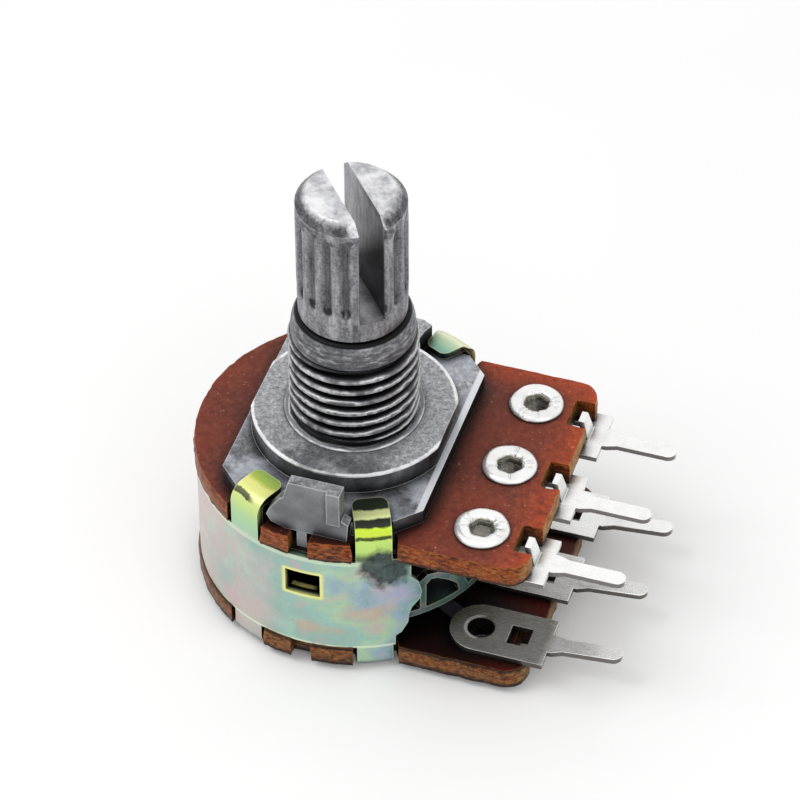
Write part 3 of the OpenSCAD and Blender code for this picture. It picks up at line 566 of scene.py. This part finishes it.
def shell_look():
    """Passivated zinc plating: pale teal that drifts to pinkish grey, and lime tabs, with painted
    reflections and shade in bands on the tabs, painted highlights on rims, edges and round the
    window, and painted shade inside and in corners.
    """
    look = Look("shell", metal=0.45, rough=0.32)
    drift = look.noise(0.28, 3, 0.55)
    cloud = look.noise(0.6, 4, 0.6)
    fine = look.noise(5.0, 3, 0.6)
    ragged = look.noise(1.6, 4, 0.7)
    stain = look.noise(1.1, 4, 0.6)
    x, y, z = look.place()
    radius = look.distance(x, y)
    facing = look.normal()[2]
    upright = look.upright(facing)
    front = look.level(y, -4.0, -5.0)
    front_left = look.both(front, look.level(x, 0.5, -0.5))
    front_right = look.both(front, look.level(x, -0.5, 0.5))

    across = look.math("ADD", x, look.swing(drift, -3.0, 3.0))
    film = look.ramp(look.level(across, -9, 9),
                     (0.08, 204, 188, 184), (0.28, 184, 184, 178), (0.42, 150, 182, 172),
                     (0.55, 148, 190, 180), (0.66, 172, 202, 166), (0.76, 146, 174, 188),
                     (0.93, 94, 142, 134))
    film = look.over(film, colour(172, 212, 190), look.level(cloud, 0.53, 0.66, 0.0, 0.5))
    film = look.over(film, colour(204, 172, 176), look.level(cloud, 0.46, 0.33, 0.0, 0.6))
    for oval, tint in (((3.2, -7.3, 1.7, 0.7), colour(214, 158, 128)),
                       ((0.6, -8.6, 1.5, 0.5), colour(210, 166, 134)),
                       ((4.6, -6.1, 1.2, 0.8), colour(178, 166, 204))):
        apart = look.math("ADD", look.spot(x, z, *oval), look.swing(stain, -0.5, 0.5))
        film = look.over(film, tint, look.level(apart, 1.1, 0.3), front, 0.5)
    film = look.over(film, colour(236, 240, 230), look.swing(fine, 0.0, 0.1))

    out_x = look.less(look.size(look.math("ADD", x, WINDOW_SIDE)), WINDOW_HALF_W)
    out_z = look.less(look.size(look.less(z, WINDOW_Z)), WINDOW_HALF_H)
    from_window = look.distance(look.math("MAXIMUM", out_x, 0.0),
                                look.math("MAXIMUM", out_z, 0.0))
    outer = look.level(radius, SHELL_R - 0.25, SHELL_R - 0.1)
    # Painted highlight: a yellow glow round the lanced window.
    film = look.over(film, colour(246, 240, 140), look.level(from_window, 0.26, 0.1), front,
                     outer, 0.9)
    # Painted highlights: pale lines along the wall's top rim and along its foot on the rear board.
    rim = look.band(z, FRONT_BOARD_BOTTOM - 0.27, FRONT_BOARD_BOTTOM + 0.05, 0.06)
    film = look.over(film, colour(232, 242, 204), rim, upright, 0.5)
    low_rim_highlight = look.band(z, REAR_BOARD_TOP - 0.02, REAR_BOARD_TOP + 0.1, 0.05)
    film = look.over(film, colour(234, 244, 214), low_rim_highlight, upright, 0.7)

    slant = look.less(radius, z)
    run = look.level(look.math("ADD", slant, look.swing(ragged, -0.09, 0.09)),
                     TAB_RUN_FROM, TAB_RUN_TO)
    # Painted reflections and shade: the tabs' dark and pale bands stand for light on their folds,
    # over the plating's lime.
    right_tab = tab_bands(
        look, run, (7.0, 22, 34, 18), (8.05, 34, 46, 26), (8.2, 238, 246, 176),
        (8.75, 232, 244, 168), (8.88, 20, 24, 12), (9.42, 30, 36, 14), (9.56, 206, 236, 62),
        (10.1, 214, 240, 76), (10.2, 66, 84, 20), (10.36, 66, 84, 20), (10.46, 204, 236, 120),
        (11.25, 196, 230, 120), (11.7, 96, 120, 78))
    left_tab = tab_bands(
        look, run, (7.0, 150, 186, 92), (7.9, 186, 210, 88), (8.15, 248, 248, 150),
        (8.75, 240, 244, 150), (8.95, 222, 232, 150), (9.8, 206, 226, 140),
        (10.8, 178, 216, 160), (12.0, 168, 204, 178))
    back_tab = tab_bands(
        look, run, (7.0, 120, 186, 172), (7.7, 150, 204, 180), (8.3, 196, 222, 180),
        (8.7, 238, 242, 214), (9.3, 214, 220, 160), (12.0, 150, 160, 110))
    tabs = look.mix(front_right, look.mix(front_left, back_tab, left_tab), right_tab)
    high = look.level(z, FRONT_BOARD_BOTTOM - 0.05, FRONT_BOARD_BOTTOM + 0.15)
    film = look.over(film, tabs, high)
    # Painted reflection: a dark band across the fold of the front left tab.
    fold_dark_band = look.band(look.math("ADD", slant, look.swing(ragged, -0.15, 0.15)), 9.0, 9.36, 0.1)
    film = look.over(film, colour(36, 34, 12), fold_dark_band, look.level(x, -3.0, -3.4), front, high,
                     0.9)

    # Painted reflection: a dark patch on the upright wall below the front right tab.
    blotch = look.math("ADD", look.spot(x, z, 4.25, -4.0, 1.35, 1.4),
                       look.swing(stain, -0.3, 0.3))
    dark_reflection = look.ramp(ragged, (0.35, 22, 32, 30), (0.65, 74, 92, 88))
    film = look.over(film, dark_reflection, look.level(blotch, 1.15, 0.75), front_right, upright, 0.96)
    # Painted shade in corners.
    film = look.over(film, colour(18, 20, 14), look.hollows(0.8, 1.3), mode="MULTIPLY")
    # Painted shade: the shell's inner faces go near-black where they are closed in.
    within = look.level(radius, SHELL_R - 0.1, SHELL_R - 0.35)
    film = look.over(film, colour(6, 8, 5), within, look.hollows(5.0, 1.7), mode="MULTIPLY")
    # Painted shade: black inside the shell behind the window.
    shut = look.both(look.level(from_window, 0.5, 0.2), front, within, look.level(z, -2.4, -2.8))
    film = look.over(film, colour(10, 10, 8), shut)
    # Painted highlight: a pale band on the lip inside the window.
    lip = look.both(shut, look.level(z, WINDOW_Z, WINDOW_Z - 0.3), look.level(facing, 0.3, 0.6),
                    look.band(radius, SHELL_R - 0.78, SHELL_R - 0.55, 0.05),
                    look.level(x, 0.5, 0.2))
    film = look.over(film, colour(252, 240, 160), lip)
    # Painted highlight along edges, except inside the shell.
    film = look.over(film, colour(236, 246, 196), look.edges(0.12, 4), look.other(shut), 0.7)
    look.set(Base_Color=film, Roughness=look.swing(cloud, 0.42, 0.28),
             Normal=look.bump(fine, 0.01, 0.5))
    return look.material


def rotor_look():
    """Dark moulded plastic."""
    look = Look("rotor", rough=0.5)
    grain = look.noise(3.0, 3, 0.6)
    look.set(Base_Color=look.ramp(grain, (0.3, 38, 34, 30), (0.7, 70, 62, 54)),
             Normal=look.bump(grain, 0.02, 0.5))
    return look.material


def track_look(name, dark, light):
    """Printed film with a grainy surface."""
    look = Look(name, rough=0.6)
    grain = look.noise(6.0, 3, 0.6)
    look.set(Base_Color=look.ramp(grain, (0.3, *dark), (0.7, *light)),
             Normal=look.bump(grain, 0.01, 0.5))
    return look.material


def sheet_metal_look(name, dark, light):
    """Plain spring metal with drawn streaks."""
    look = Look(name, metal=1.0, rough=0.35)
    streak = look.noise(2.0, 3, 0.6, stretch=(0.3, 2.5, 1))
    look.set(Base_Color=look.ramp(streak, (0.3, *dark), (0.7, *light)),
             Normal=look.bump(streak, 0.01, 0.5))
    return look.material


# Pieces

def tidy_mesh(node):
    """The node's mesh as a bmesh, with its flat faces whole again."""
    bm = bmesh.new()
    bm.from_mesh(frame["nodes"][node].data)
    bmesh.ops.remove_doubles(bm, verts=bm.verts, dist=0.0005 * MM)
    merge_flat(bm)
    return bm


def merge_flat(bm):
    bmesh.ops.dissolve_limit(bm, angle_limit=math.radians(0.5), verts=bm.verts, edges=bm.edges)


def new_piece(name, bm, material):
    mesh = bpy.data.meshes.new(name)
    bm.to_mesh(mesh)
    bm.free()
    mesh.materials.append(material)
    piece = bpy.data.objects.new(name, mesh)
    bpy.context.scene.collection.objects.link(piece)
    return piece


def shade_smooth(piece):
    for face in piece.data.polygons:
        face.use_smooth = True


def soften(piece, width):
    """Rounds the sharp edges of a piece and smooths what is left between them."""
    bevel = piece.modifiers.new("rounded_edges", "BEVEL")
    bevel.width = width * MM
    bevel.segments = 2
    bevel.limit_method = "ANGLE"
    bevel.angle_limit = math.radians(SHARP_ANGLE)
    bevel.use_clamp_overlap = True
    bevel.harden_normals = True
    shade_smooth(piece)
    piece.data.set_sharp_from_angle(angle=math.radians(SMOOTH_ANGLE))


def stand_for(piece, node):
    """The piece takes over from a node: its body and its place in view."""
    record = frame["record"]
    body = next(name for name, nodes in record["behaviour"]["bodies"].items() if node in nodes)
    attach(piece, body)
    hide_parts(node)


def dress(node, bm, material, width):
    """New piece in a node's place, with its edges rounded to the width."""
    piece = new_piece(node + "_look", bm, material)
    soften(piece, width)
    stand_for(piece, node)


def paint(node, material):
    slots = frame["nodes"][node].data.materials
    slots.clear()
    slots.append(material)


def cut(piece, tool):
    """Takes the tool's volume out of the piece, and deletes the tool."""
    boolean = piece.modifiers.new("cut", "BOOLEAN")
    boolean.operation = "DIFFERENCE"
    boolean.solver = "EXACT"
    boolean.object = tool
    bpy.context.view_layer.update()
    done = piece.evaluated_get(bpy.context.evaluated_depsgraph_get())
    mesh = bpy.data.meshes.new_from_object(done)
    old = piece.data
    piece.modifiers.clear()
    piece.data = mesh
    bpy.data.meshes.remove(old)
    bpy.data.objects.remove(tool)


def smooth(share):
    """Eases a share from 0 to 1, held at both ends."""
    share = min(1.0, max(0.0, share))
    return share * share * (3 - 2 * share)


def point(radius, angle, z):
    """Point at a radius and an angle in radians, in metres."""
    return (radius * math.cos(angle) * MM, radius * math.sin(angle) * MM, z * MM)


def ring_points(radius, z, count):
    return [point(radius, 2 * math.pi * i / count, z) for i in range(count)]


def ring_solid(rows):
    """Closed mesh round the axis: each row is a ring of points, and the last meets the first."""
    bm = bmesh.new()
    loops = [[bm.verts.new(spot) for spot in row] for row in rows]
    count = len(rows[0])
    for lower, upper in zip(loops, loops[1:] + loops[:1]):
        for i in range(count):
            j = (i + 1) % count
            bm.faces.new((lower[i], lower[j], upper[j], upper[i]))
    bmesh.ops.recalc_face_normals(bm, faces=bm.faces)
    return bm


def thread_mesh():
    """Sleeve with a fine right-hand thread that runs out at both ends, and a foot."""
    rows = [ring_points(radius, z, THREAD_SIDES) for radius, z in (
        (THREAD_ROOT_R - 0.1, -0.05), (FOOT_R, -0.05), (FOOT_R, 0.05), (FOOT_R - 0.06, 0.11),
        (THREAD_CREST_R - 0.1, THREAD_FROM))]
    for k in range(THREAD_ROWS + 1):
        z = THREAD_FROM + (THREAD_TO - THREAD_FROM) * k / THREAD_ROWS
        run_out = max(min(1.0, (z - THREAD_FROM) / 0.3, (THREAD_TO - z) / 0.25), 0.0)
        row = []
        for i in range(THREAD_SIDES):
            turn = i / THREAD_SIDES
            phase = (z / THREAD_PITCH - turn) % 1.0
            rise = smooth((1 - abs(2 * phase - 1) - 0.12) / 0.66)
            radius = THREAD_ROOT_R + (THREAD_CREST_R - THREAD_ROOT_R) * rise * run_out
            row.append(point(radius, 2 * math.pi * turn, z))
        rows.append(row)
    rows.append(ring_points(THREAD_ROOT_R - 0.1, THREAD_TO, THREAD_SIDES))
    return ring_solid(rows)


def thread_room():
    """Ring-shaped tool that clears the plain cylinder away down to the thread's root."""
    inner, outer = THREAD_ROOT_R - 0.03, THREAD_CREST_R + 0.3
    low, high = 0.02, THREAD_TO
    bm = ring_solid([ring_points(radius, z, THREAD_SIDES) for radius, z in (
        (inner, low), (outer, low), (outer, high), (inner, high))])
    return new_piece("thread_room", bm, None)


def bushing_piece(material, thread_material):
    """Casting with its plain cylinder cut back, and the thread in its place."""
    piece = new_piece("bushing_plate_look", tidy_mesh("bushing_plate"), material)
    cut(piece, thread_room())
    bm = bmesh.new()
    bm.from_mesh(piece.data)
    merge_flat(bm)
    bm.to_mesh(piece.data)
    bm.free()
    soften(piece, 0.06)
    stand_for(piece, "bushing_plate")
    thread = new_piece("bushing_thread", thread_mesh(), thread_material)
    shade_smooth(thread)
    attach(thread, "housing")


def rivet_head(material, name, place, up, seed):
    """Flared rivet head with an uneven rim and short cracks that run out from its hole."""
    chance = random.Random(seed)
    count = 120
    waves = [(k, chance.uniform(0, 2 * math.pi), chance.uniform(0.3, 1.0) / k)
             for k in range(3, 9)]
    cracks = sorted(chance.uniform(0, 360) for _ in range(7))
    crack_depth, crack_reach = 0.14, 4
    stations = [(RIVET_HOLE_R, -0.35), (RIVET_HOLE_R, 0.12), (RIVET_HOLE_R + 0.1, 0.24),
                (0.95, 0.29), (1.15, 0.3), (1.3, 0.27), (RIVET_RIM_R - 0.06, 0.16),
                (RIVET_RIM_R, 0.04), (RIVET_RIM_R - 0.03, -0.04)]
    rows = []
    for station, (radius, height) in enumerate(stations):
        share = (radius - RIVET_HOLE_R) / (RIVET_RIM_R - RIVET_HOLE_R)
        row = []
        for i in range(count):
            angle = 2 * math.pi * i / count
            wobble = sum(size * math.sin(k * angle + phase) for k, phase, size in waves)
            facets = math.cos(6 * angle + waves[0][1])
            r = radius + 0.05 * wobble * share + 0.035 * (1 - share) * facets
            z = height + 0.02 * wobble * share
            for crack in cracks:
                away = abs((math.degrees(angle) - crack + 180) % 360 - 180)
                if away < crack_reach and 1 <= station <= 4:
                    z -= crack_depth * (1 - away / crack_reach) * (1 - 0.6 * share)
            row.append(point(r, angle, z * up))
        rows.append(row)
    bm = ring_solid(rows)
    bmesh.ops.translate(bm, verts=bm.verts, vec=Vector(place) * MM)
    piece = new_piece(name, bm, material)
    shade_smooth(piece)
    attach(piece, "housing")


def terminal_piece(gang, number, material):
    """Strip with its prong and pin, and a flared rivet head over it."""
    node = f"{gang}_terminal_{number}"
    up = 1 if gang == "front" else -1
    height = FRONT_BOARD_TOP if up > 0 else REAR_BOARD_BOTTOM
    side = (2 - number) * PITCH
    bm = tidy_mesh(node)
    for vert in bm.verts:
        x, z = vert.co.x / MM, vert.co.z / MM
        if x > RIVET_X + PRONG_FROM and (z - height) * up > -0.5 * BOARD_T:
            vert.co.y = (side + (vert.co.y / MM - side) * PRONG_SHARE) * MM
    dress(node, bm, material, 0.09)
    rivet_head(material, f"{gang}_rivet_{number}", (RIVET_X, side, height), up, 10 * number + up)


def rim_loops(node):
    """Closed outlines of a flat piece's upper face, with the solid on their left."""
    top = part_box(node)[1].z
    bm = tidy_mesh(node)
    bm.normal_update()
    after = {}
    for edge in bm.edges:
        if all(abs(vert.co.z - top) < 0.01 * MM for vert in edge.verts):
            if sorted(abs(face.normal.z) > 0.5 for face in edge.link_faces) == [False, True]:
                upper = next(face for face in edge.link_faces if abs(face.normal.z) > 0.5)
                loop = next(loop for loop in upper.loops if loop.edge == edge)
                after[loop.vert] = loop.link_loop_next.vert
    loops = []
    while after:
        vert, follower = after.popitem()
        loop = [vert.co.to_2d() / MM]
        while follower in after:
            loop.append(follower.co.to_2d() / MM)
            follower = after.pop(follower)
        loops.append(loop)
    bm.free()
    return loops


def inside(spot, loop):
    """True where a point lies within a closed outline."""
    crossings = 0
    for here, there in zip(loop, loop[1:] + loop[:1]):
        if (here.y > spot.y) != (there.y > spot.y):
            if spot.x < here.x + (there.x - here.x) * (spot.y - here.y) / (there.y - here.y):
                crossings += 1
    return crossings % 2 == 1


def fill_flat(bm, rings):
    """Faces between closed rings of vertices that lie in one plane, with the holes left open."""
    verts = [vert for ring in rings for vert in ring]
    sides, start = [], 0
    for ring in rings:
        sides += [(start + i, start + (i + 1) % len(ring)) for i in range(len(ring))]
        start += len(ring)
    borders = [[vert.co.to_2d() / MM for vert in ring] for ring in rings]
    flat = delaunay_2d_cdt([spot for border in borders for spot in border], sides, [], 1, 1e-6)
    for corners in flat[2]:
        middle = sum((flat[0][corner] for corner in corners), Vector((0, 0))) / len(corners)
        if sum(inside(middle, border) for border in borders) % 2:
            bm.faces.new([verts[flat[3][corner][0]] for corner in corners])


def board_piece(node, material, seed):
    """Board whose punched edge is torn back a little, more toward its faces."""
    low, high = (corner.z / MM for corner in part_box(node))
    rows, step = 5, 0.22
    bm = bmesh.new()
    faces = {0: [], rows - 1: []}
    for loop in rim_loops(node):
        fine = []
        for here, there in zip(loop, loop[1:] + loop[:1]):
            parts = max(1, int((there - here).length / step))
            fine += [here.lerp(there, i / parts) for i in range(parts)]
        count = len(fine)
        rings = []
        for row in range(rows):
            z = low + (high - low) * row / (rows - 1)
            ring = []
            for i, spot in enumerate(fine):
                run = fine[(i + 1) % count] - fine[i - 1]
                outward = Vector((run.y, -run.x)).normalized()
                slow = noise.noise(Vector((spot.x * 1.3, spot.y * 1.3, z * 2.0 + seed)))
                quick = noise.noise(Vector((spot.x * 4.0, spot.y * 4.0, z * 3.0 - seed)))
                depth = TEAR_DEPTH + TEAR_SLOW * slow + TEAR_QUICK * quick
                depth += TEAR_AT_FACES if row in faces else 0.0
                place = spot - outward * max(depth, 0.0)
                ring.append(bm.verts.new((place.x * MM, place.y * MM, z * MM)))
            rings.append(ring)
            if row in faces:
                faces[row].append(ring)
        for under, over in zip(rings, rings[1:]):
            for i in range(count):
                j = (i + 1) % count
                bm.faces.new((under[i], under[j], over[j], over[i]))
    for outlines in faces.values():
        fill_flat(bm, outlines)
    bmesh.ops.recalc_face_normals(bm, faces=bm.faces)
    dress(node, bm, material, 0.05)


def shaft_piece(material):
    """Shaft whose flutes fade out under the tip's bevel and over the collar."""
    bm = tidy_mesh("shaft")
    flutes_r = 2.6
    upright = [edge for edge in bm.edges
               if abs(edge.verts[0].co.z - edge.verts[1].co.z) > 5 * MM
               and all(vert.co.to_2d().length > flutes_r * MM for vert in edge.verts)]
    bmesh.ops.subdivide_edges(bm, edges=upright, cuts=24, use_grid_fill=True)
    slot = math.radians(SLOT_ANGLE)
    across = Vector((-math.sin(slot), math.cos(slot), 0))
    for vert in bm.verts:
        radius, z = vert.co.to_2d().length / MM, vert.co.z / MM
        on_knurl = flutes_r < radius < 2.96 and KNURL_FROM - 0.05 < z < KNURL_TO + 0.4
        if not on_knurl or abs(vert.co.dot(across)) < (SLOT_HALF_W + 0.03) * MM:
            continue
        fill = max(smooth((z - KNURL_TO + 1.1) / 0.9), smooth((KNURL_FROM + 0.75 - z) / 0.6))
        grown = radius + (KNURL_R - radius) * fill
        vert.co.x *= grown / radius
        vert.co.y *= grown / radius
        if z > KNURL_TO:
            vert.co.z = KNURL_TO * MM
    dress("shaft", bm, material, 0.08)


def shell_piece(material):
    """Shell, with the tip of its back right tab drawn in and shifted along."""
    bm = tidy_mesh("housing_shell")
    angle = math.radians(BACK_TAB_ANGLE)
    centre = Vector((math.cos(angle), math.sin(angle), 0))
    along = Vector((-centre.y, centre.x, 0))
    narrow, pull, shift = 0.3, 0.25, 0.3
    for vert in bm.verts:
        reach, offset = vert.co.dot(centre) / MM, vert.co.dot(along) / MM
        if vert.co.z / MM > TAB_TOP - 0.6 and abs(offset) < 1.5 and 5.5 < reach < 8.0:
            tip = min(1.0, max(0.0, (7.9 - reach) / 1.5))
            vert.co -= along * offset * narrow * tip * MM
            vert.co += (centre * pull * tip + along * shift) * MM
    dress("housing_shell", bm, material, 0.1)


# Stage

def add_camera():
    azimuth, elevation = math.radians(CAMERA_AZIMUTH), math.radians(CAMERA_ELEVATION)
    back = Vector((math.sin(azimuth) * math.cos(elevation),
                   -math.cos(azimuth) * math.cos(elevation), math.sin(elevation)))
    right = (-back).cross(Vector((0, 0, 1))).normalized()
    up = right.cross(-back)
    place = (back * CAMERA_DISTANCE + right * CAMERA_RIGHT + up * CAMERA_UP) * MM
    roll = math.radians(CAMERA_ROLL)
    rolled_right = right * math.cos(roll) + up * math.sin(roll)
    rolled_up = up * math.cos(roll) - right * math.sin(roll)
    data = bpy.data.cameras.new("camera")
    data.lens = CAMERA_LENS
    data.sensor_width = CAMERA_SENSOR
    data.clip_start = 0.01
    camera = bpy.data.objects.new("camera", data)
    turn = Matrix((rolled_right, rolled_up, back)).transposed().to_4x4()
    camera.matrix_world = Matrix.Translation(place) @ turn
    bpy.context.scene.collection.objects.link(camera)
    bpy.context.scene.camera = camera


def add_floor():
    """White floor just under the lowest tabs, a little brighter to the camera alone."""
    look = Look("floor", rough=0.9)
    paper = look.noise(0.05, 2, 0.5)
    seen = look.add("ShaderNodeLightPath").outputs["Is Camera Ray"]
    look.set(Base_Color=look.ramp(paper, (0.2, 250, 250, 250), (0.8, 253, 253, 253)),
             Emission_Color=(1, 1, 1, 1), Emission_Strength=look.both(seen, 0.06))
    bm = bmesh.new()
    bmesh.ops.create_grid(bm, x_segments=1, y_segments=1, size=600 * MM)
    floor = new_piece("floor", bm, look.material)
    floor.location.z = (SHELL_BOTTOM - 0.02) * MM


def add_lamp(name, place, size, power):
    """Square lamp that shines at the origin."""
    data = bpy.data.lights.new(name, "AREA")
    data.energy = power
    data.size = size * MM
    lamp = bpy.data.objects.new(name, data)
    lamp.location = Vector(place) * MM
    lamp.rotation_euler = (-Vector(place)).to_track_quat("-Z", "Y").to_euler()
    bpy.context.scene.collection.objects.link(lamp)


def add_world():
    """White to the camera and in reflections, and softer as a light on matt surfaces."""
    world = bpy.data.worlds.new("studio")
    bpy.context.scene.world = world
    world.use_nodes = True
    tree = world.node_tree
    back = tree.nodes["Background"]
    back.inputs["Color"].default_value = (1, 1, 1, 1)
    path = tree.nodes.new("ShaderNodeLightPath")
    seen = path.outputs["Is Camera Ray"]
    for other in ("Is Glossy Ray", "Is Transmission Ray"):
        larger = tree.nodes.new("ShaderNodeMath")
        larger.operation = "MAXIMUM"
        tree.links.new(seen, larger.inputs[0])
        tree.links.new(path.outputs[other], larger.inputs[1])
        seen = larger.outputs[0]
    strength = tree.nodes.new("ShaderNodeMapRange")
    strength.inputs["To Min"].default_value = 0.75
    strength.inputs["To Max"].default_value = 1.0
    tree.links.new(seen, strength.inputs["Value"])
    tree.links.new(strength.outputs["Result"], back.inputs["Strength"])


def main():
    bpy.context.scene.view_settings.view_transform = "Standard"
    add_camera()
    add_floor()
    add_world()
    add_lamp("key", *KEY_LAMP)
    add_lamp("fill", *FILL_LAMP)

    casting, shaft, board = casting_look(), shaft_look(), board_look()
    terminal, shell, rotor = terminal_look(), shell_look(), rotor_look()
    carbon = track_look("carbon_track", (24, 24, 28), (48, 48, 54))
    silver = track_look("silver_track", (150, 150, 146), (200, 200, 194))
    clip = sheet_metal_look("clip", (96, 96, 98), (176, 176, 178))
    wiper = sheet_metal_look("wiper", (150, 112, 50), (214, 178, 104))

    shaft_piece(shaft)
    bushing_piece(casting, thread_look())
    board_piece("front_board", board, 3.7)
    board_piece("rear_board", board, 9.1)
    for gang in ("front", "rear"):
        for number in (1, 2, 3):
            terminal_piece(gang, number, terminal)
    shell_piece(shell)
    dress("mid_plate", tidy_mesh("mid_plate"), shell, 0.08)
    for node, material in (
            ("retaining_clip", clip), ("front_rotor", rotor), ("rear_rotor", rotor),
            ("front_wiper", wiper), ("rear_wiper", wiper),
            ("front_resistive_track", carbon), ("rear_resistive_track", carbon),
            ("front_collector_track", silver), ("rear_collector_track", silver)):
        paint(node, material)


main()
